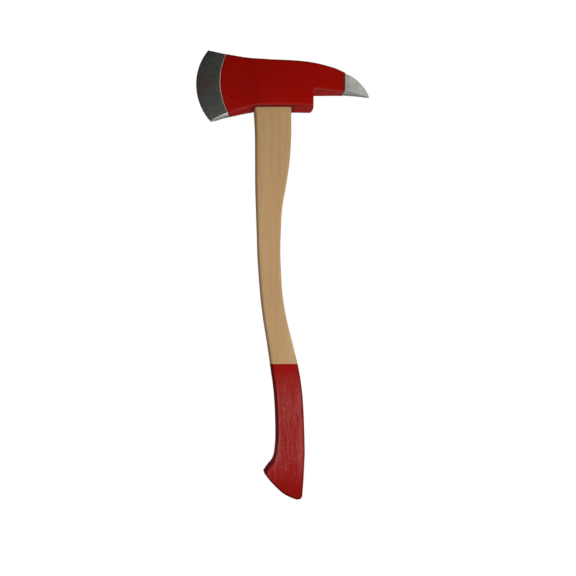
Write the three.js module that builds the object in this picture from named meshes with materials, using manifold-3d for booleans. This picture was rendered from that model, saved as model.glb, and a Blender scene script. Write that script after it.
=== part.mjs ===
// Fire axe with a pick: a forged steel head on a curved hickory handle, held by one wooden wedge in a
// saw kerf and two steel wedges driven across it.
//
// Millimetres, +Z up the handle. X runs from the blade (-) to the pick (+), and the cheeks face -Y and +Y.
// The origin is the middle of the eye's lower mouth, on the flat underside of the head.

import * as THREE from 'three';
import { mergeVertices } from 'three/addons/utils/BufferGeometryUtils.js';
import Module from 'manifold-3d';

const wasm = await Module();
wasm.setup();

// ---------------------------------------------------------------- driving dimensions

// Head outline, as [x, z] points of smooth curves seen from the side.
const HEAD_TOP = [
  [-116.9, 107.7], [-84.8, 98.9], [-41, 88.5], [-12.6, 84.9], [30.4, 83.2], [73.7, 79.4],
  [102.8, 74.2], [118, 69.8], [137, 61.6], [153.6, 51], [167.4, 36.6], [175.2, 22.8],
];
const BLADE_BOTTOM = [[-111.6, -21.6], [-99, -18.4], [-87.3, -14.7], [-54.2, -6], [-31, 0]];
const PICK_BOTTOM = [[71.4, 29.4], [88, 28.6], [102, 28.2], [123, 27.2], [149.3, 25.2], [173.4, 21.4]];

const POLL_X = 71.4; // rear face of the poll, under the pick
const POLL_CORNER = 1; // radius of the poll's lower corner
const TIP_X = 174.8; // blunt end of the pick

// Blade: the cutting edge and the back of its ground bevel are arcs from top edge to bottom edge.
// Each row is [x of the arc's middle, x at the top edge, x at the bottom edge].
const CUTTING_EDGE = [-138.6, -116.9, -111.6];
const BEVEL_BACK = [-96.3, -84.8, -75.5];
const BLADE_ROOT = [-31, -31, -31];

// Half thickness of the head along its length, as [x, y].
const HEAD_HALF = [
  [-138.6, 0.35], [-96.3, 5], [-78, 7.2], [-55, 10], [-38, 13.4], [-24, 16.2], [-14, 17], [42, 17],
  [57, 16.5], [71.4, 15.2], [86, 13.1], [100, 10.9], [114, 8.8], [128, 6.8], [155, 3.8], [175, 1.1],
];

const TOP_CHAMFER = [3.6, 3]; // [depth down the cheek, inset from the cheek]
const PICK_CHAMFER = [5, 3.6];
const FULL_THICKNESS = 14; // those chamfers shrink where the half thickness is less than this

// Height of the rounded fold between cheek and underside, as [x along the underside, height].
const BOTTOM_FOLD = [
  [-111.6, 0.6], [-96, 3.6], [-75.5, 6.4], [-66, 8.2], [-49, 7.7], [-30, 6], [-14, 5.3], [72, 5.3],
];
const FOLD_INSET = 0.6; // inset of that fold as a share of its height
const FOLD_MIDDLE = [0.437, 0.345]; // height and inset of its middle crease, as shares of the whole

const PICK_ROOT = 12; // length over which the pick's lower chamfer opens out of the poll
const SEAM = 0.6; // height of that chamfer's fold where it starts

// Rows of facets down the cheek: above and below the level of the pick's underside.
const UPPER_STEPS = 4;
const LOWER_STEPS = 3;
const PICK_ROW = UPPER_STEPS + 3;

// Oval eye, as [z, half length, half width]; it flares upwards so that the wedged wood can't pull out.
const EYE = [[-4, 31.9, 12.2], [0, 31.7, 12], [40, 30.9, 11.4], [95, 32, 13.8]];
const EYE_SQUARENESS = 2.4; // exponent of the superellipse: 2 is an ellipse

// Handle, as [z, left x, right x, half thickness] from the foot to the head.
const HANDLE = [
  [-625, 3.4, 57, 14], [-598, 5.8, 56.5, 13.8], [-554, 5.3, 55.1, 13.4], [-510, 2.4, 52.1, 13],
  [-467, -3.5, 45.4, 12.6], [-423, -9.8, 34.8, 12.2], [-380, -16.7, 24.4, 11.8], [-336, -22, 17.2, 11.4],
  [-270, -26.9, 13.4, 11.2], [-226, -28.3, 14.1, 11.3], [-182, -29.8, 16.4, 11.6], [-138, -31, 23.8, 12.1],
  [-94, -31.2, 30.1, 12.8], [-50, -31.4, 32.6, 13.6], [-22, -32, 32.7, 14.2],
];
const SHOULDER = [[-2.5, -33, 32.6, 14.4], [-0.4, -32.6, 32.3, 14]];
const FOOT_HALF = 14.6; // half thickness at the butt
const TOE = [[-15.4, -657], [-8, -645.6], [-0.8, -636.5], [3.4, -625]];
const HEEL = [[52.4, -699], [53.7, -682], [55.2, -661], [57, -625]];
const BUTT = [[-15.4, -657], [-3.5, -674.5], [17, -694.2], [36, -703.6], [46, -705.3], [52.4, -699]];
const BUTT_ROUNDING = 4; // radius of the arris round the butt
const SIDE_ROUNDING = 5; // depth of the rounded sides of the handle's section

const GAP = 0.3; // between pieces that touch
const EYE_TOP = 84.6; // height of the head's top edge over the eye's centre
const EYE_TOP_SLOPE = -0.05; // dz/dx of the head's top edge there
const WOOD_BELOW_TOP = 0.8; // the tongue is sawn off this far below the steel

// Wooden wedge in the kerf, which runs across the whole tongue.
const KERF = { bottom: 27, halfBottom: 0.7, halfTop: 3.1, top: 95 };
// Steel wedges, driven across the wooden one: the middle of each, and their common size.
const STEEL_WEDGE_X = { steel_wedge_front: -13, steel_wedge_rear: 13 };
const STEEL_WEDGE = { bottom: 55, top: 95, halfBottom: 0.5, halfTop: 2.4, width: 18.4 };

// ---------------------------------------------------------------- small tools

const lerp = THREE.MathUtils.lerp;

function splineThrough(points) {
  return new THREE.SplineCurve(points.map(([x, z]) => new THREE.Vector2(x, z)));
}

// Second coordinate of a curve where its first, steadily growing coordinate has a given value.
function valueAt(curve, first) {
  let low = 0;
  let high = 1;
  for (let step = 0; step < 40; step += 1) {
    const middle = (low + high) / 2;
    if (curve.getPoint(middle).x < first) low = middle;
    else high = middle;
  }
  return curve.getPoint(low).y;
}

// Straight interpolation of one column in rows whose first column grows.
function column(rows, first, index) {
  const next = Math.max(1, rows.findIndex((row) => row[0] >= first));
  const [before, after] = [rows[next - 1], rows[next]];
  const share = (first - before[0]) / (after[0] - before[0]);
  return lerp(before[index], after[index], share);
}

function geometryFrom(triangles) {
  const proper = triangles.filter(([a, b, c]) => !(same(a, b) || same(b, c) || same(c, a)));
  const geometry = new THREE.BufferGeometry();
  geometry.setAttribute('position', new THREE.Float32BufferAttribute(proper.flat(2), 3));
  return mergeVertices(geometry, 1e-4);
}

function same(a, b) {
  return Math.hypot(a[0] - b[0], a[1] - b[1], a[2] - b[2]) < 1e-4;
}

function solidFrom(geometry) {
  const bare = geometry.clone();
  bare.deleteAttribute('normal');
  bare.deleteAttribute('uv');
  const merged = mergeVertices(bare, 1e-4);
  return new wasm.Manifold(new wasm.Mesh({
    numProp: 3,
    vertProperties: Float32Array.from(merged.attributes.position.array),
    triVerts: Uint32Array.from(merged.index.array),
  }));
}

function geometryOf(solid) {
  const mesh = solid.getMesh();
  const geometry = new THREE.BufferGeometry();
  geometry.setAttribute('position', new THREE.BufferAttribute(mesh.vertProperties, 3));
  geometry.setIndex(new THREE.BufferAttribute(mesh.triVerts, 1));
  return geometry;
}

// ---------------------------------------------------------------- lofts

// A station is a row of [x, z, half thickness] points. The rows of neighbouring stations are joined into
// a front half at -Y and a back half at +Y. `lastRow` gives the last row that is used after a station.
function slab(stations, lastRow = () => stations[0].length - 1) {
  const triangles = [];
  const quad = (a, b, c, d) => triangles.push([a, b, c], [a, c, d]);
  const front = (i, j) => [stations[i][j][0], -stations[i][j][2], stations[i][j][1]];
  const back = (i, j) => [stations[i][j][0], stations[i][j][2], stations[i][j][1]];
  const endCap = (i, fromRow, toRow, isFirst) => {
    for (let j = fromRow; j < toRow; j += 1) {
      if (isFirst) quad(back(i, j), back(i, j + 1), front(i, j + 1), front(i, j));
      else quad(front(i, j), front(i, j + 1), back(i, j + 1), back(i, j));
    }
  };

  for (let i = 0; i < stations.length - 1; i += 1) {
    const last = lastRow(i);
    for (let j = 0; j < last; j += 1) {
      quad(front(i, j), front(i, j + 1), front(i + 1, j + 1), front(i + 1, j));
      quad(back(i, j), back(i + 1, j), back(i + 1, j + 1), back(i, j + 1));
    }
    quad(front(i, 0), front(i + 1, 0), back(i + 1, 0), back(i, 0));
    quad(front(i, last), back(i, last), back(i + 1, last), front(i + 1, last));
    if (i > 0 && lastRow(i - 1) > last) endCap(i, last, lastRow(i - 1), false);
  }
  endCap(0, 0, lastRow(0), true);
  endCap(stations.length - 1, 0, lastRow(stations.length - 2), false);
  return geometryFrom(triangles);
}

// Solid of oval sections at the given [z, half length, half width] levels, made smaller by `inset`.
// The last level may slope: its height is topHeight(x).
function ovalColumn(levels, inset, topHeight) {
  const SIDES = 40;
  const ring = ([z, halfLength, halfWidth], height) => {
    const points = [];
    for (let i = 0; i < SIDES; i += 1) {
      const angle = (2 * Math.PI * i) / SIDES;
      const power = 2 / EYE_SQUARENESS;
      const x = (halfLength - inset) * Math.sign(Math.cos(angle)) * Math.abs(Math.cos(angle)) ** power;
      const y = (halfWidth - inset) * Math.sign(Math.sin(angle)) * Math.abs(Math.sin(angle)) ** power;
      points.push([x, y, height ? height(x) : z]);
    }
    return points;
  };
  const rings = levels.map((level, i) => ring(level, i === levels.length - 1 ? topHeight : null));
  const triangles = [];
  const bottom = [0, 0, levels[0][0]];
  const top = [0, 0, topHeight ? topHeight(0) : levels.at(-1)[0]];
  for (let i = 0; i < SIDES; i += 1) {
    const next = (i + 1) % SIDES;
    for (let k = 0; k < rings.length - 1; k += 1) {
      triangles.push([rings[k][i], rings[k][next], rings[k + 1][next]]);
      triangles.push([rings[k][i], rings[k + 1][next], rings[k + 1][i]]);
    }
    triangles.push([bottom, rings[0][next], rings[0][i]]);
    triangles.push([top, rings.at(-1)[i], rings.at(-1)[next]]);
  }
  return geometryFrom(triangles);
}

// Wedge-shaped prism, `half` wide at its bottom and top, whose length lies along X. It grows by `margin`.
function wedgePrism(bottom, top, halfBottom, halfTop, length, margin) {
  const shape = new THREE.Shape();
  shape.moveTo(-halfBottom - margin, bottom - margin);
  shape.lineTo(halfBottom + margin, bottom - margin);
  shape.lineTo(halfTop + margin, top);
  shape.lineTo(-halfTop - margin, top);
  shape.closePath();
  const depth = length + 2 * margin;
  const geometry = new THREE.ExtrudeGeometry(shape, { depth, bevelEnabled: false });
  geometry.translate(0, 0, -depth / 2);
  // shape x, y, extrusion z become Y, Z, X
  geometry.applyMatrix4(new THREE.Matrix4().set(0, 0, 1, 0, 1, 0, 0, 0, 0, 1, 0, 0, 0, 0, 0, 1));
  return geometry;
}

// ---------------------------------------------------------------- head

const headTop = splineThrough(HEAD_TOP);
const bladeBottom = splineThrough(BLADE_BOTTOM);
const pickBottom = splineThrough(PICK_BOTTOM);

// Distance of an arc from its chord, `along` (0 to 1) the chord, for a given rise at the middle.
function arcRise(along, halfChord, rise) {
  if (rise < 0.01) return 0;
  const radius = (halfChord ** 2 + rise ** 2) / (2 * rise);
  return Math.sqrt(radius ** 2 - (halfChord * (2 * along - 1)) ** 2) - (radius - rise);
}

// Underside of the head at x: blade, flat part, and the poll's rounded corner.
function bodyBottom(x) {
  if (x < BLADE_ROOT[0]) return valueAt(bladeBottom, x);
  const intoCorner = x - (POLL_X - POLL_CORNER);
  if (intoCorner <= 0) return 0;
  return POLL_CORNER - Math.sqrt(Math.max(0, POLL_CORNER ** 2 - intoCorner ** 2));
}

// Where the station through x on the middle line meets the top and the bottom edge.
function stationEnds(x) {
  if (x >= BLADE_ROOT[0]) return [x, x];
  const [low, high] = x < BEVEL_BACK[0] ? [CUTTING_EDGE, BEVEL_BACK] : [BEVEL_BACK, BLADE_ROOT];
  const share = (x - low[0]) / (high[0] - low[0]);
  return [lerp(low[1], high[1], share), lerp(low[2], high[2], share)];
}

// One station of the head, from top to bottom. Rows 0 to PICK_ROW carry on into the pick.
function headStation(x) {
  const half = column(HEAD_HALF, x, 1);
  const thin = Math.min(1, half / FULL_THICKNESS);
  const [topX, bottomX] = stationEnds(x);
  const topZ = valueAt(headTop, topX);
  const rows = [[topZ, half - TOP_CHAMFER[1] * thin], [topZ - TOP_CHAMFER[0] * thin, half]];

  const open = THREE.MathUtils.smoothstep(x, POLL_X, POLL_X + PICK_ROOT);
  const pickZ = valueAt(pickBottom, Math.max(x, POLL_X));
  const fold = lerp(SEAM, Math.min(PICK_CHAMFER[0], half), open);
  const inset = PICK_CHAMFER[1] * thin * open;
  for (let k = 1; k <= UPPER_STEPS; k += 1) {
    rows.push([lerp(rows[1][0], pickZ + fold, k / UPPER_STEPS), half]);
  }
  rows.push([pickZ + fold / 2, half - inset * 0.4], [pickZ, half - inset]);
  if (x > POLL_X) return rows.map(([z, y]) => [x, z, y]);

  const bottomZ = bodyBottom(bottomX);
  const height = column(BOTTOM_FOLD, bottomX, 1);
  const inwards = Math.min(FOLD_INSET * height, half / 2);
  for (let k = 1; k <= LOWER_STEPS; k += 1) {
    rows.push([lerp(pickZ, bottomZ + height, k / LOWER_STEPS), half]);
  }
  rows.push([bottomZ + FOLD_MIDDLE[0] * height, half - FOLD_MIDDLE[1] * inwards]);
  rows.push([bottomZ, half - inwards]);

  const rise = (topX + bottomX) / 2 - x;
  return rows.map(([z, y]) => {
    const along = (topZ - z) / (topZ - bottomZ);
    return [lerp(topX, bottomX, along) - arcRise(along, (topZ - bottomZ) / 2, rise), z, y];
  });
}

function axeHead() {
  const places = [CUTTING_EDGE[0], -131, -122, -113, -104.5, BEVEL_BACK[0], -87, -78, -66, -55, -46, -38, -31, -24];
  places.push(-14, 4, 24, 42, 50, 57, 64, POLL_X - POLL_CORNER, 70.8, 71.15, 71.33, POLL_X);
  const pollStation = places.length - 1;
  places.push(74.5, 78, 82, 86, 93, 100, 107, 114, 121, 128, 136, 143, 149, 155, 160, 165, 170, TIP_X);
  const stations = places.map(headStation);
  const lastRow = (i) => (i < pollStation ? stations[0].length - 1 : PICK_ROW);
  const body = solidFrom(slab(stations, lastRow));
  return body.subtract(solidFrom(ovalColumn(EYE, 0)));
}

// ---------------------------------------------------------------- handle

// Section shares from the left side (0) to the right side (1), with the rounded sides' half thickness.
const SECTION_STEPS = 5;
const FLAT_SHARES = [0.22, 0.42, 0.6, 0.78];
function sectionRow(left, right, half, along) {
  const width = Math.hypot(right[0] - left[0], right[1] - left[1]);
  const points = [];
  for (let k = 0; k <= SECTION_STEPS; k += 1) {
    const angle = (Math.PI / 2) * (k / SECTION_STEPS);
    const depth = SIDE_ROUNDING * (1 - Math.cos(angle) ** (2 / 3));
    points.push([depth / width, half * Math.sin(angle) ** (2 / 3)]);
  }
  const mirrored = points.map(([share, y]) => [1 - share, y]).reverse();
  const flat = FLAT_SHARES.map((share) => [share, half]);
  return [...points, ...flat, ...mirrored].map(([share, y]) => [...along(share), y]);
}

function straightStation([z, left, right, half]) {
  return sectionRow([left, z], [right, z], half, (share) => [lerp(left, right, share), z]);
}

// The foot's stations turn from level, at the top of the foot, to the line of the rounded butt.
const toe = splineThrough(TOE);
const heel = splineThrough(HEEL);
const butt = splineThrough(BUTT);
function footStation(up, half) {
  const left = toe.getPoint(up);
  const right = heel.getPoint(up);
  const bulge = (1 - up) ** 1.6;
  return sectionRow([left.x, left.y], [right.x, right.y], half, (share) => {
    const onButt = butt.getPointAt(share);
    const onChord = butt.getPoint(0).lerp(butt.getPoint(1), share);
    const x = lerp(left.x, right.x, share) + bulge * (onButt.x - onChord.x);
    const z = lerp(left.y, right.y, share) + bulge * (onButt.y - onChord.y);
    return [x, z];
  });
}

function shaft() {
  const stations = [];
  for (const [up, inset] of [[0, 1], [0.012, 0.5], [0.035, 0.2], [0.08, 0]]) {
    stations.push(footStation(up, FOOT_HALF - inset * BUTT_ROUNDING));
  }
  for (const up of [0.22, 0.4, 0.6, 0.8]) {
    stations.push(footStation(up, lerp(FOOT_HALF, HANDLE[0][3], up)));
  }
  const left = splineThrough(HANDLE.map((row) => [row[0], row[1]]));
  const right = splineThrough(HANDLE.map((row) => [row[0], row[2]]));
  const LEVELS = 36;
  for (let k = 0; k <= LEVELS; k += 1) {
    const z = lerp(HANDLE[0][0], HANDLE.at(-1)[0], k / LEVELS);
    const half = column(HANDLE, Math.min(z, HANDLE.at(-1)[0]), 3);
    stations.push(straightStation([z, valueAt(left, z), valueAt(right, z), half]));
  }
  stations.push(...SHOULDER.map(straightStation));
  return solidFrom(slab(stations));
}

function tongueTop(x) {
  return EYE_TOP + EYE_TOP_SLOPE * x - WOOD_BELOW_TOP;
}

// The part of the eye that the wood fills, `inset` inside its wall and ending below the head's top.
function eyeFilling(bottom, inset) {
  const levels = [bottom, 0, 40, 84].map((z) => [z, column(EYE, z, 1), column(EYE, z, 2)]);
  return solidFrom(ovalColumn(levels, inset, tongueTop));
}

// ---------------------------------------------------------------- wedges

function kerf(margin) {
  const { bottom, top, halfBottom, halfTop } = KERF;
  const length = 2 * EYE[0][1] + 10;
  return solidFrom(wedgePrism(bottom, top, halfBottom, halfTop, length, margin));
}

function steelWedge(x, margin) {
  const { bottom, top, halfBottom, halfTop, width } = STEEL_WEDGE;
  const geometry = wedgePrism(bottom, top, halfBottom, halfTop, width, margin);
  geometry.rotateZ(Math.PI / 2);
  geometry.translate(x, 0, 0);
  return solidFrom(geometry);
}

function cutSteelSlots(solid) {
  let result = solid;
  for (const x of Object.values(STEEL_WEDGE_X)) {
    result = result.subtract(steelWedge(x, GAP));
  }
  return result;
}

function handle() {
  const tongue = eyeFilling(-3.5, GAP);
  return cutSteelSlots(shaft().add(tongue).subtract(kerf(GAP)));
}

function woodWedge() {
  return cutSteelSlots(kerf(0).intersect(eyeFilling(20, 2 * GAP)));
}

function steelWedgeBody(x) {
  return steelWedge(x, 0).intersect(eyeFilling(20, 2 * GAP));
}

// ---------------------------------------------------------------- assembly

const MATERIALS = {
  paintedSteel: { color: 0x8c140c, roughness: 0.4, metalness: 0.1 },
  hickory: { color: 0xb3946b, roughness: 0.6, metalness: 0 },
  wedgeWood: { color: 0xc8aa78, roughness: 0.7, metalness: 0 },
  bareSteel: { color: 0x8f918c, roughness: 0.45, metalness: 1 },
};

const axe = new THREE.Group();

function addPiece(name, solid, material) {
  const mesh = new THREE.Mesh(geometryOf(solid), new THREE.MeshStandardMaterial(MATERIALS[material]));
  mesh.name = name;
  axe.add(mesh);
}

addPiece('axe_head', axeHead(), 'paintedSteel');
addPiece('handle', handle(), 'hickory');
addPiece('wood_wedge', woodWedge(), 'wedgeWood');
for (const [name, x] of Object.entries(STEEL_WEDGE_X)) {
  addPiece(name, steelWedgeBody(x), 'bareSteel');
}

export default axe;
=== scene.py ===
"""Fire axe with a pick: its looks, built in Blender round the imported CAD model.

The dimensions below are millimetres in the part's own frame: +Z up the handle, the blade at -X, the pick
at +X, the cheeks facing -Y and +Y, and the origin in the middle of the eye's lower mouth.
"""
import math

import bmesh
import bpy
import numpy as np
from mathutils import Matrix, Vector


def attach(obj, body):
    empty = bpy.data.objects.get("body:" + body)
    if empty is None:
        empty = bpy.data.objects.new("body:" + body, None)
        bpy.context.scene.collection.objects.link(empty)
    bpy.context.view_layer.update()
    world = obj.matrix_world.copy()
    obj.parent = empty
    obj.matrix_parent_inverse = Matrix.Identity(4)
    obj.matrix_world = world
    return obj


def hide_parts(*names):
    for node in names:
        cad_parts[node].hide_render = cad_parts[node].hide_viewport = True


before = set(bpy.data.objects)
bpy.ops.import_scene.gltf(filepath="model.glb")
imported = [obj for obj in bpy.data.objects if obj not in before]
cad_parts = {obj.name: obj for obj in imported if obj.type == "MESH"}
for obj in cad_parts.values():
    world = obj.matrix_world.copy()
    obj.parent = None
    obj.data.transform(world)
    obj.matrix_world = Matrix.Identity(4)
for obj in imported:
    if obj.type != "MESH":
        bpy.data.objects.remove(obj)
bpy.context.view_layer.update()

MM = 0.001  # metres in a millimetre

# ---------------------------------------------------------------- dimensions of the head

HEAD_TOP = [
    (-117.2, 107.9), (-84.8, 99.3), (-41, 89.3), (-12.6, 85.2), (30.4, 83.2), (73.7, 79.5),
    (102.8, 74.2), (118, 69.8), (137, 61.6), (153.6, 51), (167.4, 36.6), (175.2, 22.8),
]
BLADE_BOTTOM = [(-112.5, -22.4), (-99, -18.9), (-87.3, -15.1), (-54.2, -6.7), (-31, 0)]
PICK_BOTTOM = [(71.4, 29.4), (88, 28.6), (102, 28.2), (123, 27.2), (149.3, 25.2), (173.4, 21.4)]

POLL_X = 71.4
POLL_CORNER = 1  # radius of the poll's lower corner
POLL_SAG = 0.8  # the underside dips by this much from SAG_FROM_X to the rear
SAG_FROM_X = 42
POLL_ARRIS = 1.4  # radius of the edges of the poll's rear face
POLL_CROWN = 1.6  # the rear face bows out by this much in the middle
PICK_FILLET = 2  # radius in the corner between the poll and the pick
TIP_X = 174.8

# Stations of the blade are arcs: x of the arc's middle, of its top end and of its bottom end.
CUTTING_EDGE = (-139, -117.2, -112.5)
BEVEL_BACK = (-96.3, -84.8, -79)
BLADE_ROOT = (-31, -31, -31)
HONED_BACK_X = -136.2  # the cutting edge is honed up to here

HEAD_HALF = [
    (-139, 0.3), (HONED_BACK_X, 1.0), (-96.3, 5), (-78, 7.2), (-55, 10), (-38, 13.4), (-24, 16.2), (-14, 17),
    (SAG_FROM_X, 17), (57, 16.5), (71.4, 15.2), (86, 13.1), (100, 10.9), (114, 8.8), (128, 6.8), (155, 3.8),
    (175, 1.1),
]
TOP_RADIUS = 3
# Height of the rounded fold between the cheek and the underside, by x along the underside.
BOTTOM_FOLD = [
    (-112.5, 1.2), (-96, 4.5), (-75.5, 6.4), (-66, 8.2), (-49, 7.7), (-30, 6), (-14, 5.3), (72, 5.3),
]
FOLD_INSET = 0.5  # inset of that fold as a share of its height
FOLD_FROM, FOLD_TO = 10, 55  # tilt of a fold's surface in degrees, where it starts and ends
PICK_CHAMFER = (6, 3.8)  # height and inset of the fold along the pick's underside
PICK_ROOT = 4  # length over which that fold opens out of the poll
FULL_THICKNESS = 14  # roundings shrink where the half thickness is less than this
LEAST_HALF = 0.25  # half thickness that the cutting edge keeps

PICK_BARE_X = 130  # the enamel ends here and the ground point starts
PRIMER = 1.2  # width of the primer showing between the bevel and the enamel
STEP = 0.01  # length of the step from the enamel down to the ground steel
BLADE_RECESS = 0.2  # how far the ground steel lies under the enamel
PICK_RECESS = 0.6
PICK_TOP_RECESS = 1.3  # extra depth of the grind on top, run out over PICK_GRIND mm
PICK_GRIND = 15
PICK_SLANT = 3.6  # how far the end of the enamel leans back on the pick's lower facet
SLANT_REACH = 8  # length over which the stations near it lean too

# ---------------------------------------------------------------- dimensions of the handle

EYE = [(-4, 31.9, 12.2), (0, 31.7, 12), (40, 30.9, 11.4), (95, 32, 13.8)]  # z, half length, half width
EYE_SQUARENESS = 2.4
OVAL_SIDES = 96
EYE_TOP = 84.6
EYE_TOP_SLOPE = -0.05
WOOD_BELOW_TOP = 0.8
GAP = 0.3

# z, left x, right x, half thickness
HANDLE = [
    (-625, 3, 57.3, 14), (-598, 5.4, 56.8, 13.8), (-554, 4.9, 55.4, 13.4),
    (-510, 2, 52.4, 13), (-467, -3.9, 45.7, 12.6), (-423, -10.2, 35.1, 12.2),
    (-380, -17.1, 24.7, 11.8), (-336, -22.4, 17.5, 11.4), (-270, -27.3, 13.7, 11.2),
    (-226, -28.7, 14.4, 11.3), (-182, -30.2, 16.7, 11.6), (-138, -31.4, 24.1, 12.1),
    (-94, -31.6, 30.4, 12.8), (-50, -31.8, 32.9, 13.6), (-22, -32.8, 33, 14.2),
]
# The same columns where the handle meets the head.
SHOULDER = [(-2.5, -34.2, 33, 14.4), (-0.4, -33.9, 32.8, 14)]
FOOT_HALF = 14.6
# Outline of the foot, as x and z: its front side, its rear side and the butt between them.
TOE = [(-17.1, -657.2), (-8.9, -645.4), (-1.4, -636.3), (3, -625)]
HEEL = [(52.7, -699), (54, -682), (55.5, -661), (57.3, -625)]
BUTT = [(-17.1, -657.2), (-3.5, -674.3), (17, -693.8), (36, -703.3), (46, -705.2), (52.7, -699)]
FOOT_HEIGHT = 50  # mean height of the foot, from the butt to its top
BUTT_ROUNDING = 4
SIDE_ROUNDING = 5
CROWN = 0.35  # how far the broad faces fall away towards their sides
SIDE_STEPS = 8
BROAD_STEPS = 12
BUTT_STEPS = 8
DIP_LINE = -461.4  # the grip is dipped in enamel up to this height
DIP_DEPTH = 0.15  # thickness of that enamel

KERF = {"bottom": 27, "top": 95, "half_bottom": 0.7, "half_top": 3.1}
STEEL_WEDGE_X = (-13, 13)  # the two steel wedges stand across the wooden one
STEEL_WEDGE = {"bottom": 55, "top": 95, "half_bottom": 0.5, "half_top": 2.4, "width": 18.4}

# ---------------------------------------------------------------- camera and stage

CAMERA_AT = (-0.1229, -1.0, -0.3949)
CAMERA_LENS = 34.39
CAMERA_SENSOR = 36.0
CAMERA_SHIFT = (0.144097, 0.067708)  # moves the axe in the frame without turning the camera
FLOOR_Z = -0.95


# ================================================================ shape tools

def lerp(a, b, t):
    return a + (b - a) * t


def smoothstep(x, low, high):
    t = min(1.0, max(0.0, (x - low) / (high - low)))
    return t * t * (3 - 2 * t)


def spline(points, steps=40):
    """Points along a Catmull-Rom curve through the given ones."""
    p = np.array(points, float)
    p = np.vstack([p[0], p, p[-1]])
    t = (np.arange(steps) / steps)[:, None]
    runs = []
    for a, b, c, d in zip(p[:-3], p[1:-2], p[2:-1], p[3:]):
        before = (c - a) / 2
        after = (d - b) / 2
        bend = (3 * (c - b) - 2 * before - after) * t**2 + (2 * (b - c) + before + after) * t**3
        runs.append(b + before * t + bend)
    return np.vstack(runs + [p[-1:]])


def point_on(curve, share):
    """The point at a share of a curve's count of points."""
    places = np.linspace(0, 1, len(curve))
    return np.array([np.interp(share, places, curve[:, k]) for k in (0, 1)])


def along(curve, share):
    """The point at a share of a curve's length."""
    reach = np.concatenate([[0], np.cumsum(np.linalg.norm(np.diff(curve, axis=0), axis=1))])
    return np.array([np.interp(share * reach[-1], reach, curve[:, k]) for k in (0, 1)])


def monotone(points):
    """A smooth function through points that never overshoots them."""
    x, y = np.array(points, float).T
    slope = np.diff(y) / np.diff(x)
    tangent = np.concatenate([[slope[0]], np.zeros(len(slope) - 1), [slope[-1]]])
    for k in range(1, len(slope)):
        if slope[k - 1] * slope[k] > 0:
            tangent[k] = 2 * slope[k - 1] * slope[k] / (slope[k - 1] + slope[k])

    def value(at):
        k = int(np.clip(np.searchsorted(x, at) - 1, 0, len(slope) - 1))
        width = x[k + 1] - x[k]
        t = (at - x[k]) / width
        rest = (3 * slope[k] - 2 * tangent[k] - tangent[k + 1]) * t**2
        rest += (tangent[k] + tangent[k + 1] - 2 * slope[k]) * t**3
        return y[k] + width * (tangent[k] * t + rest)

    return value


def spaced(marks, step):
    """Values from the first mark to the last, through every mark, at most a step apart."""
    values = [marks[0]]
    for low, high in zip(marks[:-1], marks[1:]):
        count = max(1, math.ceil((high - low) / step))
        values += [lerp(low, high, k / count) for k in range(1, count + 1)]
    return values


def ring_from_rows(rows):
    """A closed ring from rows x, y, z (and more) on the front half: the first and the last lie at y = 0."""
    front = [(x, -y, z) for x, y, z, *_ in rows]
    back = [(x, y, z) for x, y, z, *_ in rows[-2:0:-1]]
    return front + back


def add_loft(bm, rings, cap_first=False, cap_last=False):
    """Skins the rings with quads and closes the ends with strips. Returns the vertices."""
    made = [[bm.verts.new([c * MM for c in point]) for point in ring] for ring in rings]
    count = len(rings[0])
    for low, high in zip(made[:-1], made[1:]):
        for k in range(count):
            nxt = (k + 1) % count
            bm.faces.new((low[k], low[nxt], high[nxt], high[k]))
    if cap_first:
        add_strips(bm, made[0][::-1])
    if cap_last:
        add_strips(bm, made[-1])
    return made


def add_strips(bm, ring):
    """Closes a ring whose halves mirror each other."""
    count = len(ring)
    offset = 0 if abs(ring[0].co.y) < 1e-9 else -1
    for k in range(count // 2):
        a = ring[(k + 1) % count]
        b = ring[k]
        c = ring[(offset - k) % count]
        d = ring[(offset - k - 1) % count]
        corners = list(dict.fromkeys((a, b, c, d)))
        if len(corners) > 2:
            bm.faces.new(corners)


def new_object(name, bm):
    bmesh.ops.remove_doubles(bm, verts=bm.verts, dist=1e-7)
    bmesh.ops.recalc_face_normals(bm, faces=bm.faces)
    mesh = bpy.data.meshes.new(name)
    bm.to_mesh(mesh)
    bm.free()
    obj = bpy.data.objects.new(name, mesh)
    bpy.context.scene.collection.objects.link(obj)
    return obj


def cut(obj, tool, operation="DIFFERENCE"):
    """Applies a boolean with a tool object, then removes the tool."""
    modifier = obj.modifiers.new("cut", "BOOLEAN")
    modifier.operation = operation
    modifier.solver = "EXACT"
    modifier.object = tool
    bpy.context.view_layer.update()
    evaluated = obj.evaluated_get(bpy.context.evaluated_depsgraph_get())
    mesh = bpy.data.meshes.new_from_object(evaluated)
    obj.modifiers.clear()
    obj.data = mesh
    bpy.data.objects.remove(tool)


def smooth(obj, angle):
    """Smooth shading with hard edges where faces meet at more than the angle in degrees."""
    obj.data.polygons.foreach_set("use_smooth", [True] * len(obj.data.polygons))
    obj.data.set_sharp_from_angle(angle=math.radians(angle))


# ================================================================ head

head_top = spline(HEAD_TOP)
blade_bottom = spline(BLADE_BOTTOM)
pick_bottom = spline(PICK_BOTTOM)
head_half = monotone(HEAD_HALF)
bottom_fold = monotone(BOTTOM_FOLD)

# Steps from row to row in each stretch of a station, from the top edge down to the underside.
TOP_FLAT = 4
TOP_ARC = 5
UPPER = 14
PICK_FOLD = 5
LOWER = 8
BOTTOM_ARC = 7
BOTTOM_FLAT = 4
PICK_ROW = TOP_FLAT + TOP_ARC + UPPER + PICK_FOLD + 1  # the row at the height of the pick's underside
CREASE = 0.7  # height of the row that keeps a fold crisp


def arc_rise(share, half_chord, rise):
    """Height of an arc over its chord, whose middle stands `rise` off it."""
    if rise < 0.01:
        return 0.0
    radius = (half_chord**2 + rise**2) / (2 * rise)
    return math.sqrt(radius**2 - (half_chord * (2 * share - 1)) ** 2) - (radius - rise)


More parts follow.
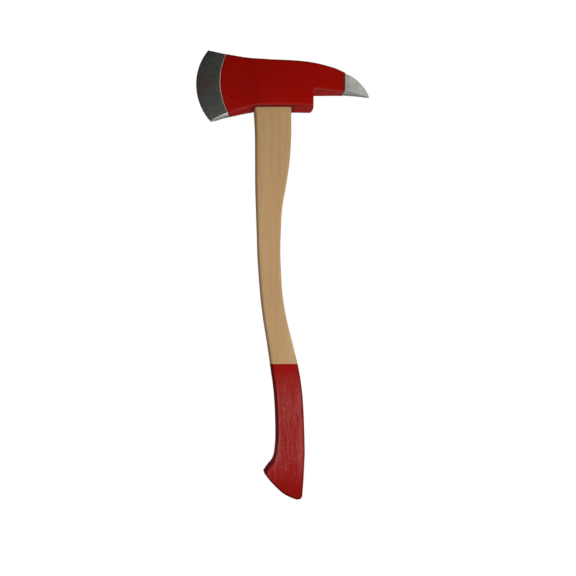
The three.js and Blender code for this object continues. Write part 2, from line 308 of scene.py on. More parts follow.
def station_ends(x):
    """Where the station through x on the middle line meets the top and the bottom edge."""
    if x >= BLADE_ROOT[0]:
        return x, x
    low, high = (CUTTING_EDGE, BEVEL_BACK) if x < BEVEL_BACK[0] else (BEVEL_BACK, BLADE_ROOT)
    share = (x - low[0]) / (high[0] - low[0])
    return lerp(low[1], high[1], share), lerp(low[2], high[2], share)


def body_bottom(x):
    if x < BLADE_ROOT[0]:
        return float(np.interp(x, *blade_bottom.T))
    into = max(0.0, x - (POLL_X - POLL_CORNER))
    sag = POLL_SAG * smoothstep(x, SAG_FROM_X, POLL_X)
    return POLL_CORNER - math.sqrt(max(0.0, POLL_CORNER**2 - into**2)) - sag


def pick_level(x):
    """Height of the pick's underside, with the fillet that joins it to the poll's rear face."""
    level = float(np.interp(max(x, POLL_X), *pick_bottom.T))
    short = POLL_X + PICK_FILLET - max(x, POLL_X)
    if short > 0:
        level -= PICK_FILLET - math.sqrt(max(0.0, PICK_FILLET**2 - short**2))
    return level


def recess(x):
    """How far the surface at a station lies under the enamel's: on the cheeks, and on the top edge."""
    if x < BEVEL_BACK[0] + PRIMER:
        return BLADE_RECESS, BLADE_RECESS
    if x > PICK_BARE_X:
        run_out = 1 - smoothstep(x, PICK_BARE_X, PICK_BARE_X + PICK_GRIND)
        return PICK_RECESS * lerp(0.3, 1, run_out), PICK_TOP_RECESS * run_out
    return 0.0, 0.0


def fold_profile(share):
    """How far down and how far inwards a rounded fold has come, both from 0 to 1."""
    first, last = math.radians(FOLD_FROM), math.radians(FOLD_TO)
    angle = lerp(first, last, share)
    down = (math.sin(angle) - math.sin(first)) / (math.sin(last) - math.sin(first))
    inward = (math.cos(first) - math.cos(angle)) / (math.cos(first) - math.cos(last))
    return down, inward


def poll_bow(x, across, below):
    """How far the poll's rear end bows out: `across` is 0 in its middle and 1 on the cheeks."""
    return POLL_CROWN * (1 - across**2) * smoothstep(x, POLL_X - 12, POLL_X) * smoothstep(below, 0, 6)


def station_half(x):
    return max(LEAST_HALF, head_half(x) - recess(x)[0])


def upper_rows(x, level):
    """Rows z, y, fold of a station from the middle of the top edge to the pick's level."""
    half = station_half(x)
    thin = min(1.0, half / FULL_THICKNESS)
    top = float(np.interp(station_ends(x)[0], *head_top.T)) - recess(x)[1]
    radius = TOP_RADIUS * thin
    rows = [(top, (half - radius) * k / TOP_FLAT, 0) for k in range(TOP_FLAT)]
    for k in range(TOP_ARC):
        angle = math.pi / 2 * k / TOP_ARC
        rows.append((top - radius * (1 - math.cos(angle)), half - radius * (1 - math.sin(angle)), 0))

    opened = smoothstep(x, POLL_X, POLL_X + PICK_ROOT)
    fold = lerp(1.2, min(PICK_CHAMFER[0], half), opened)
    inset = PICK_CHAMFER[1] * thin * opened
    rows += [(lerp(top - radius, level + fold + CREASE, k / UPPER), half, 0) for k in range(UPPER + 1)]
    for k in range(PICK_FOLD + 1):
        down, inward = fold_profile(k / PICK_FOLD)
        rows.append((level + fold * (1 - down), half - inset * inward, k / PICK_FOLD))
    return rows


def lower_rows(x, level, bottom, fold):
    """Rows z, y, fold of a station from the pick's level down to the lower edge of the bottom fold."""
    half = station_half(x)
    into = max(0.0, x - (POLL_X - POLL_ARRIS))
    arris = POLL_ARRIS - math.sqrt(max(0.0, POLL_ARRIS**2 - into**2))
    rows = []
    for k in range(1, LOWER + 1):
        z = lerp(level, bottom + fold + CREASE, k / LOWER)
        rows.append((z, half - arris * smoothstep(level - z, 0, 5), 0))
    low_half = rows[-1][1]
    inset = min(FOLD_INSET * fold, low_half / 2)
    for k in range(BOTTOM_ARC + 1):
        down, inward = fold_profile(k / BOTTOM_ARC)
        rows.append((bottom + fold * (1 - down), low_half - inset * inward, k / BOTTOM_ARC))
    return rows


def underside_rows(z, edge):
    """Rows z, y, fold from a fold's lower edge to the middle of the underside."""
    return [(z, edge * (1 - k / BOTTOM_FLAT), 1) for k in range(1, BOTTOM_FLAT + 1)]


def pick_rows(x):
    """Rows x, y, z, fold of one station of the pick on the front half, from the top to the underside."""
    level = pick_level(x) + recess(x)[0]
    rows = upper_rows(x, level)
    rows += underside_rows(level, rows[-1][1])
    lean = PICK_SLANT * math.exp(-(((x - PICK_BARE_X) / SLANT_REACH) ** 2))
    return [(x - lean * share, y, z, share) for z, y, share in rows]


def body_rows(x):
    """Rows x, y, z, fold of one station of the blade, the eye or the poll, bent along the station's arc.

    `fold` is 0 on the cheek, and grows to 1 over the slope that leads to the underside.
    """
    top_x, bottom_x = station_ends(x)
    level = pick_level(x)
    bottom = body_bottom(bottom_x) + recess(x)[0]
    rows = [(z, y, 0) for z, y, _ in upper_rows(x, level)]
    rows += lower_rows(x, level, bottom, min(bottom_fold(bottom_x), (level - bottom) / 2))
    rows += underside_rows(bottom, rows[-1][1])

    top = rows[0][0]
    half = station_half(x)
    rise = (top_x + bottom_x) / 2 - x
    curved = []
    for z, y, share in rows:
        down = (top - z) / (top - bottom)
        place = lerp(top_x, bottom_x, down) - arc_rise(down, (top - bottom) / 2, rise)
        curved.append((place + poll_bow(x, y / half, level - z), y, z, share))
    return curved


def poll_rear(station):
    """Lines x, y, z, fold across the poll's rear face, from the pick's root down to the underside."""
    _, half, level, _ = station[PICK_ROW]
    lines = []
    for _, y, z, share in station[PICK_ROW:-BOTTOM_FLAT]:
        across = [y * (1 - k / BOTTOM_FLAT) for k in range(2 * BOTTOM_FLAT + 1)]
        lines.append([(POLL_X + poll_bow(POLL_X, w / half, level - z), -w, z, share) for w in across])
    return lines


def oval_ring(half_length, half_width, height_at):
    """A ring of the eye's rounded shape, at a height that may change along x."""
    power = 2 / EYE_SQUARENESS
    ring = []
    for k in range(OVAL_SIDES):
        angle = 2 * math.pi * k / OVAL_SIDES
        x = half_length * math.copysign(abs(math.cos(angle)) ** power, math.cos(angle))
        y = half_width * math.copysign(abs(math.sin(angle)) ** power, math.sin(angle))
        ring.append((x, -y, height_at(x)))
    return ring


def eye_at(z):
    return tuple(float(np.interp(z, [row[0] for row in EYE], [row[k] for row in EYE])) for k in (1, 2))


def eye_cutter():
    """The eye with a small chamfer at both mouths."""
    rings = []
    for z, wider in ((-6, 7), (0.9, 0), (40, 0), (EYE_TOP - 3.5, 0), (EYE_TOP + 5, 1.2)):
        half_length, half_width = eye_at(z)
        rings.append(oval_ring(half_length + wider, half_width + wider, lambda x, z=z: z))
    bm = bmesh.new()
    add_loft(bm, rings, cap_first=True, cap_last=True)
    return new_object("eye_cutter", bm)


def body_places():
    """Stations from the cutting edge to the poll's rear face, closer together where the shape turns."""
    primer_end = BEVEL_BACK[0] + PRIMER
    places = spaced([CUTTING_EDGE[0], CUTTING_EDGE[0] + 0.8, HONED_BACK_X, BEVEL_BACK[0]], 2.5)
    places += [primer_end - STEP]
    places += spaced([primer_end, BLADE_ROOT[0], SAG_FROM_X, POLL_X - POLL_ARRIS], 3)
    places += [POLL_X - POLL_ARRIS * (1 - math.sin(math.pi / 2 * k / 10)) for k in range(1, 11)]
    return places


def pick_places():
    """Stations from the poll's rear face to the tip."""
    places = [POLL_X + PICK_FILLET * (1 - math.cos(math.pi / 2 * k / 5)) for k in range(5)]
    places += spaced([POLL_X + PICK_FILLET, PICK_BARE_X], 2.5)
    places += spaced([PICK_BARE_X + STEP, 155, TIP_X], 2.2)
    return places


def add_stations(bm, places, stations, **caps):
    """Skins stations and notes on each vertex its station's x and its share of a fold."""
    station_x = bm.verts.layers.float["station"]
    fold = bm.verts.layers.float["fold"]
    rings = add_loft(bm, [ring_from_rows(rows) for rows in stations], **caps)
    for x, ring, rows in zip(places, rings, stations):
        shares = [row[3] for row in rows]
        for vertex, share in zip(ring, shares + shares[-2:0:-1]):
            vertex[station_x] = x
            vertex[fold] = share


def add_poll_rear(bm, station):
    station_x = bm.verts.layers.float["station"]
    fold = bm.verts.layers.float["fold"]
    lines = []
    for points in poll_rear(station):
        line = [bm.verts.new((x * MM, y * MM, z * MM)) for x, y, z, _ in points]
        for vertex, point in zip(line, points):
            vertex[station_x] = POLL_X
            vertex[fold] = point[3]
        lines.append(line)
    for high, low in zip(lines[:-1], lines[1:]):
        for k in range(len(low) - 1):
            bm.faces.new((high[k], high[k + 1], low[k + 1], low[k]))


def axe_head():
    bm = bmesh.new()
    bm.verts.layers.float.new("station")
    bm.verts.layers.float.new("fold")
    bodies = [body_rows(x) for x in body_places()]
    picks = [pick_rows(x) for x in pick_places()]
    add_stations(bm, body_places(), bodies, cap_first=True)
    add_stations(bm, pick_places(), picks, cap_last=True)
    add_poll_rear(bm, bodies[-1])
    head = new_object("head_forging", bm)
    cut(head, eye_cutter())
    return head


# ================================================================ handle

def section_rows(at_share, width, half):
    """Rows x, y, z, share of a handle section, the share running from its left side to its right side."""
    sides = []
    for k in range(SIDE_STEPS + 1):
        angle = math.pi / 2 * k / SIDE_STEPS
        away = SIDE_ROUNDING * (1 - math.cos(angle) ** (2 / 3)) / width
        sides.append((away, math.sin(angle) ** (2 / 3)))
    reach = sides[-1][0]
    flat = [(lerp(reach, 1 - reach, k / BROAD_STEPS), 1.0) for k in range(1, BROAD_STEPS)]
    rows = []
    for share, full in sides + flat + [(1 - s, f) for s, f in sides[::-1]]:
        x, z = at_share(share)
        rows.append((x, full * (half - CROWN * (2 * share - 1) ** 2), z, share))
    return rows


def level_rows(z, left, right, half, grow=0.0):
    """Section of the straight part at one height, grown by the thickness of the paint."""
    left -= grow
    right += grow
    return section_rows(lambda share: (lerp(left, right, share), z), right - left, half + grow)


toe_line = spline(TOE)
heel_line = spline(HEEL)
butt_line = spline(BUTT)


def foot_rows(up, half, inset=0.0):
    """Section of the foot: `up` is 0 on the butt and 1 at the top of the foot."""
    left = point_on(toe_line, up)
    right = point_on(heel_line, up)
    width = float(np.linalg.norm(right - left))
    bulge = (1 - up) ** 1.6

    def at_share(share):
        share = lerp(inset / width, 1 - inset / width, share)
        chord = lerp(butt_line[0], butt_line[-1], share)
        point = lerp(left, right, share) + bulge * (along(butt_line, share) - chord)
        return float(point[0]), float(point[1])

    return section_rows(at_share, width, half)


def shaft():
    bm = bmesh.new()
    rows = []
    for k in range(BUTT_STEPS, -1, -1):
        angle = math.pi / 2 * k / BUTT_STEPS
        up = BUTT_ROUNDING * (1 - math.sin(angle)) / FOOT_HEIGHT
        gone = BUTT_ROUNDING * (1 - math.cos(angle))
        rows.append(foot_rows(up, FOOT_HALF + DIP_DEPTH - gone, gone * 0.6))
    for up in spaced([0.1, 0.98], 0.06):
        rows.append(foot_rows(up, lerp(FOOT_HALF, HANDLE[0][3], up) + DIP_DEPTH))
    left_x, right_x, half = (handle_column(k) for k in (1, 2, 3))
    for z in spaced([HANDLE[0][0], DIP_LINE], 4):
        rows.append(level_rows(z, left_x(z), right_x(z), half(z), DIP_DEPTH))
    for z in spaced([DIP_LINE, HANDLE[-1][0], SHOULDER[0][0] - 4], 4):
        rows.append(level_rows(z, left_x(z), right_x(z), half(z)))
    for z, left, right, thick in SHOULDER:
        rows.append(level_rows(z, left, right, thick))
    across = bm.verts.layers.float.new("across")
    rings = add_loft(bm, [ring_from_rows(r) for r in rows], cap_first=True, cap_last=True)
    for ring, section in zip(rings, rows):
        shares = [row[3] for row in section]
        for vertex, share in zip(ring, shares + shares[-2:0:-1]):
            vertex[across] = share
    return new_object("handle_wood", bm)


def handle_column(index):
    """One column of the handle's table as a smooth function of z, through to the shoulder."""
    curve = spline([(row[0], row[index]) for row in HANDLE + SHOULDER[:1]])
    return lambda z: float(np.interp(z, *curve.T))


def tongue():
    """The end of the handle that fills the eye, cut off parallel to the head's top."""
    heights = [(z, lambda x, z=z: z) for z in (-3.5, 0, 40)]
    heights.append((84, lambda x: EYE_TOP + EYE_TOP_SLOPE * x - WOOD_BELOW_TOP))
    rings = []
    for z, height_at in heights:
        half_length, half_width = eye_at(z)
        rings.append(oval_ring(half_length - GAP, half_width - GAP, height_at))
    bm = bmesh.new()
    add_loft(bm, rings, cap_first=True, cap_last=True)
    return new_object("tongue", bm)


def wedge_cutter(x, size, length, turned):
    """A wedge-shaped slot, GAP wider than the wedge on each side."""
    low, high = size["half_bottom"] + GAP, size["half_top"] + GAP
    bottom, top = size["bottom"] - GAP, size["top"]
    reach = length / 2 + GAP
    bm = bmesh.new()
    profile = [(-low, bottom), (low, bottom), (high, top), (-high, top)]
    ends = []
    for end in (-reach, reach):
        points = [(x + w, end, z) if turned else (end, w, z) for w, z in profile]
        ends.append([bm.verts.new([c * MM for c in p]) for p in points])
    for k in range(4):
        nxt = (k + 1) % 4
        bm.faces.new((ends[0][k], ends[0][nxt], ends[1][nxt], ends[1][k]))
    bm.faces.new(ends[0][::-1])
    bm.faces.new(ends[1])
    return new_object("slot", bm)


def handle():
    wood = shaft()
    cut(wood, tongue(), "UNION")
    cut(wood, wedge_cutter(0, KERF, 90, False))
    for x in STEEL_WEDGE_X:
        cut(wood, wedge_cutter(x, STEEL_WEDGE, STEEL_WEDGE["width"], True))
    return wood


# ================================================================ materials

class Shader:
    """A Principled material and short ways to add nodes to it."""

    def __init__(self, name):
        self.material = bpy.data.materials.new(name)
        self.material.use_nodes = True
        self.tree = self.material.node_tree
        self.tree.nodes.clear()
        output = self.tree.nodes.new("ShaderNodeOutputMaterial")
        self.principled = self.tree.nodes.new("ShaderNodeBsdfPrincipled")
        self.tree.links.new(self.principled.outputs[0], output.inputs[0])

    def show_white_to_camera(self):
        """The camera sees the surface as plain white. Everything else sees the material."""
        output = self.tree.nodes["Material Output"]
        seen = self.put("ShaderNodeLightPath", {}).outputs["Is Camera Ray"]
        white = self.put("ShaderNodeEmission", {"Color": (1, 1, 1, 1), "Strength": 1.0}).outputs[0]
        mixed = self.put("ShaderNodeMixShader", {0: seen, 1: self.principled.outputs[0], 2: white})
        self.tree.links.new(mixed.outputs[0], output.inputs[0])

    def put(self, kind, inputs, **settings):
        node = self.tree.nodes.new(kind)
        for key, value in settings.items():
            setattr(node, key, value)
        for key, value in inputs.items():
            self.feed(node.inputs[key], value)
        return node

    def feed(self, socket, value):
        if isinstance(value, bpy.types.NodeSocket):
            self.tree.links.new(value, socket)
        else:
            socket.default_value = value

    def set(self, **values):
        for key, value in values.items():
            self.feed(self.principled.inputs[key.replace("_", " ")], value)

    def place(self, scale=(1, 1, 1)):
        """Object coordinates in metres, stretched."""
        spot = self.put("ShaderNodeTexCoord", {}).outputs["Object"]
        return self.put("ShaderNodeMapping", {"Vector": spot, "Scale": scale}).outputs[0]

    def noise(self, vector, scale, detail=3.0, roughness=0.5):
        inputs = {"Vector": vector, "Scale": scale, "Detail": detail, "Roughness": roughness}
        return self.put("ShaderNodeTexNoise", inputs).outputs[0]

    def height(self):
        spot = self.put("ShaderNodeTexCoord", {}).outputs["Object"]
        return self.put("ShaderNodeSeparateXYZ", {0: spot}).outputs[2]

    def facing(self, axis):
        """Size of the surface normal's part along x (0), y (1) or z (2), in the object's own frame."""
        normal = self.put("ShaderNodeTexCoord", {}).outputs["Normal"]
        part = self.put("ShaderNodeSeparateXYZ", {0: normal}).outputs[axis]
        return self.maths("ABSOLUTE", part, 0.0)

    def attribute(self, name):
        return self.put("ShaderNodeAttribute", {}, attribute_name=name).outputs["Fac"]

    def remap(self, value, low, high, to_low=0.0, to_high=1.0):
        inputs = {0: value, 1: low, 2: high, 3: to_low, 4: to_high}
        return self.put("ShaderNodeMapRange", inputs, clamp=True).outputs[0]

    def maths(self, operation, a, b):
        return self.put("ShaderNodeMath", {0: a, 1: b}, operation=operation).outputs[0]

    def mix(self, factor, a, b):
        node = self.put("ShaderNodeMix", {}, data_type="RGBA")
        self.feed(node.inputs[0], factor)
        self.feed(node.inputs[6], (*a, 1) if isinstance(a, tuple) else a)
        self.feed(node.inputs[7], (*b, 1) if isinstance(b, tuple) else b)
        return node.outputs[2]

    def ramp(self, value, stops):
        node = self.put("ShaderNodeValToRGB", {0: value})
        elements = node.color_ramp.elements
        while len(elements) < len(stops):
            elements.new(1.0)
        for element, (position, colour) in zip(elements, stops):
            element.position = position
            element.color = (*colour, 1) if isinstance(colour, tuple) else (colour, colour, colour, 1)
        return node.outputs[0]

    def bump(self, height, strength, distance, under=None):
        inputs = {"Height": height, "Strength": strength, "Distance": distance}
        if under is not None:
            inputs["Normal"] = under
        return self.put("ShaderNodeBump", inputs).outputs[0]


def red_enamel():
    """Red enamel, with painted shade where it runs out towards the ground steel, on the top edge, on the
    folds and round the handle, and painted light low on the cheeks.
    """
    s = Shader("red_enamel")
    spot = s.place()
    station = s.attribute("station")
    cloud = s.noise(spot, 18.0, 4.0)
    colour = s.mix(s.remap(cloud, 0.3, 0.7), (0.376, 0.0030, 0.0002), (0.412, 0.0038, 0.0004))
    ragged = s.maths("MULTIPLY", s.remap(s.noise(spot, 400.0, 3.0), 0.2, 0.8, -1.0, 1.0), 0.5)
    edge = s.maths("ADD", station, ragged)
    # Painted light: the enamel is made brighter low on the cheeks and on the underside.
    colour = s.mix(s.remap(s.height(), 0.04, 0.008, 0.0, 0.3), colour, (0.54, 0.0048, 0.0006))
    # Painted shade: a dark band where the enamel ends at the bevel and at the pick's ground point.
    blade_end = s.remap(edge, BEVEL_BACK[0] + PRIMER + 2.2, BEVEL_BACK[0] + PRIMER + 1.2)
    colour = s.mix(blade_end, colour, (0.17, 0.006, 0.003))
    pick_end = s.remap(edge, PICK_BARE_X - 5, PICK_BARE_X - 0.5)
    colour = s.mix(pick_end, colour, (0.15, 0.022, 0.014))
    # Painted shade: the top edge is darkened, as little light falls from above.
    painted_top_shade = s.maths("MULTIPLY", s.remap(s.facing(2), 0.06, 0.4), s.remap(s.height(), 0.03, 0.04))
    colour = s.mix(s.maths("MULTIPLY", painted_top_shade, 0.62), colour, (0.12, 0.0012, 0.0004))
    fold = s.attribute("fold")
    # Painted shade on the slopes of the folds that lead to the underside.
    shade = s.ramp(fold, [(0.1, 0.0), (0.6, 0.6), (0.9, 0.6), (1.0, 0.05)])
    colour = s.mix(shade, colour, (0.2, 0.002, 0.0004))
    # Painted shade: the folds are darkened round the handle, where it meets the head.
    by_handle = s.remap(s.maths("ABSOLUTE", station, 0.0), 46, 34)
    painted_contact_shade = s.maths("MULTIPLY", by_handle, s.remap(fold, 0.2, 0.7, 0.0, 0.6))
    colour = s.mix(painted_contact_shade, colour, (0.09, 0.001, 0.0004))
    s.set(Base_Color=colour, Roughness=s.remap(s.noise(spot, 60.0, 4.0), 0.3, 0.7, 0.36, 0.46))
    s.principled.inputs["Specular IOR Level"].default_value = 0.15
    waves = s.bump(s.noise(spot, 45.0, 2.0), 0.25, 0.0012)
    s.set(Normal=s.bump(s.noise(spot, 1400.0, 2.0), 0.12, 0.0002, waves))
    return s.material


def bevel_steel():
    """Ground and oiled steel of the blade: dark on the cheeks and lighter towards their top as painted
    reflection, with painted highlights on the ground steel under the heel.
    """
    s = Shader("bevel_steel")
    station = s.attribute("station")
    spot = s.place()
    scratches = s.noise(s.place((12, 900, 900)), 1.0, 4.0, 0.7)
    cheek = s.ramp(s.remap(station, CUTTING_EDGE[0], BEVEL_BACK[0]), [
        (0.0, (0.06, 0.062, 0.055)), (0.1, (0.1, 0.104, 0.091)), (0.5, (0.155, 0.156, 0.137)),
        (0.9, (0.18, 0.182, 0.158)),
    ])
    # Painted reflection: the cheek is made lighter towards its top.
    cheek = s.mix(s.remap(s.height(), 0.0, 0.1, 0.0, 0.6), cheek, (0.42, 0.43, 0.38))
    rust = s.put("ShaderNodeMapping", {"Vector": spot, "Location": (0.128, 0, -0.045)}).outputs[0]
    near = s.put("ShaderNodeVectorMath", {0: rust}, operation="LENGTH").outputs["Value"]
    blotches = s.remap(s.noise(spot, 60.0, 3.0), 0.3, 0.6, 0.2, 0.9)
    stain = s.maths("MULTIPLY", s.remap(near, 0.034, 0.008), blotches)
    cheek = s.mix(stain, cheek, (0.25, 0.13, 0.115))
    drag = s.noise(s.place((5, 200, 260)), 1.0, 3.0, 0.6)
    cheek = s.mix(s.remap(drag, 0.35, 0.65, 0.0, 0.35), cheek, (0.13, 0.13, 0.12))
    cheek = s.mix(s.remap(scratches, 0.35, 0.75, 0.0, 0.3), cheek, (0.5, 0.51, 0.47))
    fold = s.attribute("fold")
    # The underside's ground steel, with a painted highlight along its fold and a second, fainter painted
    # highlight lower down.
    underside_with_painted_highlights = s.ramp(fold, [
        (0.0, (0.95, 0.91, 0.91)), (0.15, (0.95, 0.91, 0.91)), (0.24, (0.3, 0.27, 0.28)),
        (0.55, (0.22, 0.19, 0.2)), (0.68, (0.32, 0.29, 0.3)), (0.85, (0.24, 0.22, 0.23)),
        (1.0, (0.18, 0.17, 0.17)),
    ])
    underside_with_painted_highlights = s.mix(s.remap(station, BEVEL_BACK[0], CUTTING_EDGE[0], 0.15, 0.62), underside_with_painted_highlights, (0.17, 0.16, 0.16))
    slope = s.remap(fold, 0.0, 0.04)
    s.set(Base_Color=s.mix(slope, cheek, underside_with_painted_highlights), Metallic=s.remap(slope, 0.0, 1.0, 1.0, 0.75))
    s.set(Roughness=s.remap(scratches, 0.3, 0.7, 0.34, 0.5))
    s.set(Normal=s.bump(scratches, 0.25, 0.0001))
    return s.material


def primer_and_painted_glint():
    """The edge between the enamel and the ground bevel, rubbed through to the pale primer, with a painted
    glint on it.
    """
    s = Shader("primer_and_painted_glint")
    grit = s.noise(s.place(), 500.0, 4.0, 0.7)
    # Near-white base: pale primer, made paler still as a painted highlight on the step's edge.
    s.set(Base_Color=s.mix(s.remap(grit, 0.3, 0.7), (0.8, 0.47, 0.35), (0.95, 0.66, 0.53)), Roughness=0.6)
    s.set(Normal=s.bump(grit, 0.3, 0.0002))
    return s.material


def pick_steel():
    """Ground steel of the pick: bright on the cheeks, with painted shade making the lower facets greyer, a
    painted highlight along the top edge, and painted shade then a painted highlight where it starts at the
    enamel.
    """
    s = Shader("pick_steel")
    station = s.attribute("station")
    lines = s.noise(s.place((900, 900, 14)), 1.0, 4.0, 0.7)
    # Painted shade on the step down from the enamel, then a painted highlight along the edge where the
    # ground steel starts.
    base = s.ramp(s.remap(station, PICK_BARE_X, PICK_BARE_X + 12), [
        (0.0, (0.12, 0.07, 0.06)), (0.05, (0.2, 0.13, 0.11)), (0.14, (0.8, 0.66, 0.58)),
        (0.3, (0.6, 0.58, 0.53)), (0.5, (0.66, 0.65, 0.59)), (0.8, (0.75, 0.75, 0.68)),
        (1.0, (0.77, 0.77, 0.7)),
    ])
    base = s.mix(s.remap(lines, 0.3, 0.75, 0.0, 0.4), base, (0.95, 0.95, 0.9))
    smudge = s.noise(s.place((150, 150, 90)), 1.0, 4.0, 0.65)
    base = s.mix(s.remap(smudge, 0.45, 0.65, 0.0, 0.55), base, (0.45, 0.45, 0.4))
    # Painted highlight on faces that turn up or down, such as the top edge.
    painted_rim_highlight = s.remap(s.facing(2), 0.1, 0.5, 0.0, 0.8)
    base = s.mix(painted_rim_highlight, base, (0.95, 0.95, 0.92))
    # Painted shade: the lower facets are greyer than the cheeks.
    below = s.remap(s.attribute("fold"), 0.05, 0.3)
    s.set(Base_Color=s.mix(below, base, (0.28, 0.28, 0.275)), Metallic=0.3)
    s.set(Roughness=s.remap(lines, 0.3, 0.7, 0.4, 0.55))
    s.set(Normal=s.bump(lines, 0.25, 0.0001))
    return s.material


def hickory():
    """Oiled hickory: broad bands and fine pores along the grain, a little darker at both ends, towards the
    head as painted shade.
    """
    s = Shader("hickory")
    bands = s.noise(s.place((75, 75, 2.2)), 1.0, 3.0)
    pores = s.noise(s.place((900, 900, 16)), 1.0, 3.0, 0.6)
    broad = s.mix(s.remap(bands, 0.3, 0.7), (0.675, 0.408, 0.189), (0.775, 0.5, 0.243))
    # Painted shade: darker towards the head, where less light falls.
    broad = s.mix(s.remap(s.height(), -0.2, 0.0, 0.0, 0.2), broad, (0.39, 0.23, 0.1))
    broad = s.mix(s.remap(s.height(), -0.25, -0.33, 0.0, 0.12), broad, (0.39, 0.23, 0.1))
    s.set(Base_Color=s.mix(s.remap(pores, 0.42, 0.7, 0.0, 0.26), broad, (0.42, 0.225, 0.1)))
    s.set(Roughness=s.remap(pores, 0.3, 0.7, 0.5, 0.66))
    s.principled.inputs["Specular IOR Level"].default_value = 0.25
    s.set(Normal=s.bump(pores, 0.15, 0.0002))
    return s.material


def grip_enamel():
    """Dipped enamel, rubbed thin and chalky along the grain where the hand goes, with a painted sheen over
    that stretch, painted highlights on its edges and in specks, and painted shade on its arrises.
    """
    s = Shader("grip_enamel")
    height = s.height()
    streaks = s.noise(s.place((520, 520, 26)), 1.0, 5.0, 0.75)
    broad = s.noise(s.place((70, 70, 18)), 1.0, 3.0, 0.6)
    fleck = s.noise(s.place((800, 800, 330)), 1.0, 2.0, 0.6)
    # Mid-grip band: real rubbing plus a painted sheen that lightens the enamel towards pink.
    worn_and_sheen = s.maths("MULTIPLY", s.remap(height, -0.47, -0.52), s.remap(height, -0.68, -0.63))
    patchy = s.maths("MULTIPLY", worn_and_sheen, s.remap(broad, 0.3, 0.7, 0.35, 1.0))
    # Painted highlights on the rounded side edges, stronger on the left than on the right.
    painted_edge_highlight = s.ramp(s.attribute("across"), [
        (0.05, 0.0), (0.09, 1.0), (0.16, 0.0), (0.74, 0.0), (0.85, 0.6), (0.9, 0.0),
    ])
    rub_and_sheen = s.maths("MULTIPLY", s.remap(streaks, 0.38, 0.72), patchy)
    rub_and_sheen = s.maths("ADD", rub_and_sheen, s.maths("MULTIPLY", s.maths("MULTIPLY", painted_edge_highlight, worn_and_sheen), 0.3))
    colour = s.mix(s.maths("MULTIPLY", rub_and_sheen, 0.27), (0.39, 0.003, 0.001), (0.85, 0.5, 0.46))
    dark = s.remap(s.noise(s.place((480, 480, 24)), 1.0, 4.0, 0.7), 0.5, 0.7, 0.0, 0.5)
    colour = s.mix(dark, colour, (0.25, 0.003, 0.001))
    # Painted highlight: pale specks where the gloss on the raised grain catches the light.
    painted_glint_specks = s.maths("MULTIPLY", s.remap(fleck, 0.62, 0.7), worn_and_sheen)
    colour = s.mix(s.maths("MULTIPLY", painted_glint_specks, 0.25), colour, (0.9, 0.75, 0.7))
    colour = s.mix(s.remap(height, -0.655, -0.69, 0.0, 0.3), colour, (0.2, 0.006, 0.002))
    # Painted shade darkens the narrow sides, less so on the foot, and the rims of the butt and the heel
    # side.
    to_front = s.facing(1)
    dark_to = s.remap(height, -0.6, -0.635, 0.96, 0.35)
    clear_from = s.remap(height, -0.6, -0.635, 0.997, 0.6)
    amount = s.remap(height, -0.61, -0.645, 0.93, 0.5)
    off_front = s.remap(to_front, dark_to, clear_from, amount, 0.0)
    sides = s.maths("MULTIPLY", s.remap(to_front, 0.0, 0.3), off_front)
    butt = s.maths("MULTIPLY", s.remap(s.facing(2), 0.02, 0.12, 0.0, 0.95), s.remap(height, -0.65, -0.658))
    arris = s.maths("MAXIMUM", sides, butt)
    arris = s.maths("MAXIMUM", arris, s.remap(s.attribute("across"), 0.9, 0.95, 0.0, 0.65))
    colour = s.mix(arris, colour, (0.19, 0.0012, 0.0005))
    s.set(Base_Color=colour, Roughness=s.remap(streaks, 0.3, 0.7, 0.5, 0.65))
    s.principled.inputs["Specular IOR Level"].default_value = 0.08
    s.set(Normal=s.bump(streaks, 0.3, 0.0003))
    return s.material


def wedge_wood():
    s = Shader("wedge_wood")
    lines = s.noise(s.place((60, 900, 60)), 1.0, 3.0)
    s.set(Base_Color=s.mix(s.remap(lines, 0.3, 0.7), (0.4, 0.24, 0.11), (0.6, 0.41, 0.22)), Roughness=0.75)
    s.set(Normal=s.bump(lines, 0.3, 0.0003))
    return s.material


def wedge_steel():
    s = Shader("wedge_steel")
    grain = s.noise(s.place(), 700.0, 4.0)
    s.set(Base_Color=s.mix(grain, (0.2, 0.19, 0.18), (0.42, 0.41, 0.39)), Metallic=1.0)
    s.set(Roughness=s.remap(grain, 0.3, 0.7, 0.4, 0.6))
    s.set(Normal=s.bump(grain, 0.3, 0.0002))
    return s.material


# ================================================================ assembly

ENAMEL, BEVEL, PRIMER_AND_GLINT, PICK = range(4)  # the head's materials, in the order of their slots


def head_material(low, high, on_fold):
    """The material of a face between two stations."""
    if high <= BEVEL_BACK[0] + STEP:
        return BEVEL
    if high <= BEVEL_BACK[0] + PRIMER + STEP and not on_fold:
        return PRIMER_AND_GLINT
    return PICK if low >= PICK_BARE_X - STEP else ENAMEL


def vertex_values(mesh, name):
    values = np.zeros(len(mesh.vertices))
    mesh.attributes[name].data.foreach_get("value", values)
    return values


def build_head():
    head = axe_head()
    for made in (red_enamel(), bevel_steel(), primer_and_painted_glint(), pick_steel()):
        head.data.materials.append(made)
    station = vertex_values(head.data, "station")
    fold = vertex_values(head.data, "fold")
    for face in head.data.polygons:
        corners = list(face.vertices)
        on_fold = fold[corners].max() > 0.01
        face.material_index = head_material(station[corners].min(), station[corners].max(), on_fold)
    smooth(head, 32)
    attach(head, "root")
    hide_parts("axe_head")


def build_handle():
    wood = handle()
    for made in (hickory(), grip_enamel()):
        wood.data.materials.append(made)
    for face in wood.data.polygons:
        top = max(wood.data.vertices[v].co.z for v in face.vertices)
        face.material_index = 1 if top <= (DIP_LINE + STEP) * MM else 0
    smooth(wood, 35)
    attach(wood, "root")
    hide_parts("handle")


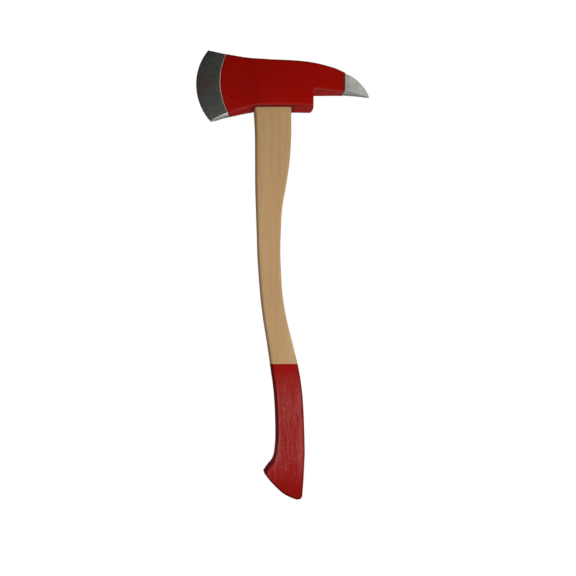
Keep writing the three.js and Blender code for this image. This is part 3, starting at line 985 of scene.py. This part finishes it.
def dress_wedges():
    for node, made in (
        ("wood_wedge", wedge_wood()),
        ("steel_wedge_front", wedge_steel()),
        ("steel_wedge_rear", wedge_steel()),
    ):
        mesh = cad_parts[node].data
        mesh.materials.clear()
        mesh.materials.append(made)


def make_camera():
    data = bpy.data.cameras.new("camera")
    data.lens = CAMERA_LENS
    data.sensor_width = CAMERA_SENSOR
    data.shift_x, data.shift_y = CAMERA_SHIFT
    camera = bpy.data.objects.new("camera", data)
    camera.location = CAMERA_AT
    camera.rotation_euler = (math.pi / 2, 0, 0)
    bpy.context.scene.collection.objects.link(camera)
    bpy.context.scene.camera = camera


def area_light(name, at, towards, size, power):
    data = bpy.data.lights.new(name, "AREA")
    data.shape = "RECTANGLE"
    data.size, data.size_y = size
    data.energy = power
    light = bpy.data.objects.new(name, data)
    light.location = at
    direction = Vector(towards) - Vector(at)
    light.rotation_euler = direction.to_track_quat("-Z", "Y").to_euler()
    light.visible_camera = False
    bpy.context.scene.collection.objects.link(light)


def make_lights():
    middle = (0, 0, -0.25)
    area_light("key", (1.1, -1.0, -0.6), middle, (0.8, 0.8), 11.2)
    area_light("front", (-0.25, -1.9, -0.5), middle, (0.7, 0.7), 9.3)
    area_light("back_key", (1.3, 1.5, -0.6), middle, (1.2, 1.4), 16)
    area_light("back_fill", (-1.7, 1.2, -0.7), middle, (1.2, 1.2), 6)
    area_light("top", (0.5, 0.9, 1.6), middle, (1.2, 1.2), 5)


def make_world():
    """White to the camera, and dimmer to everything else."""
    world = bpy.data.worlds.new("studio")
    world.use_nodes = True
    tree = world.node_tree
    tree.nodes.clear()
    output = tree.nodes.new("ShaderNodeOutputWorld")
    mixed = tree.nodes.new("ShaderNodeMixShader")
    seen = tree.nodes.new("ShaderNodeLightPath")
    ambient = tree.nodes.new("ShaderNodeBackground")
    white = tree.nodes.new("ShaderNodeBackground")
    ambient.inputs[0].default_value = (1, 1, 1, 1)
    ambient.inputs[1].default_value = 0.04
    white.inputs[0].default_value = (1, 1, 1, 1)
    white.inputs[1].default_value = 1.0
    tree.links.new(seen.outputs["Is Camera Ray"], mixed.inputs[0])
    tree.links.new(ambient.outputs[0], mixed.inputs[1])
    tree.links.new(white.outputs[0], mixed.inputs[2])
    tree.links.new(mixed.outputs[0], output.inputs[0])
    bpy.context.scene.world = world


def make_floor():
    """A wide pale disc, a little below the hanging axe."""
    bm = bmesh.new()
    bmesh.ops.create_circle(bm, cap_ends=True, segments=96, radius=30)
    bmesh.ops.translate(bm, verts=bm.verts, vec=(0, 0, FLOOR_Z))
    mesh = bpy.data.meshes.new("floor")
    bm.to_mesh(mesh)
    bm.free()
    floor = bpy.data.objects.new("floor", mesh)
    bpy.context.scene.collection.objects.link(floor)
    s = Shader("floor")
    s.set(Base_Color=(0.8, 0.8, 0.8, 1), Roughness=0.9)
    s.show_white_to_camera()
    mesh.materials.append(s.material)


make_camera()
build_head()
build_handle()
dress_wedges()
make_lights()
make_world()
make_floor()
bpy.context.scene.view_settings.view_transform = "Standard"
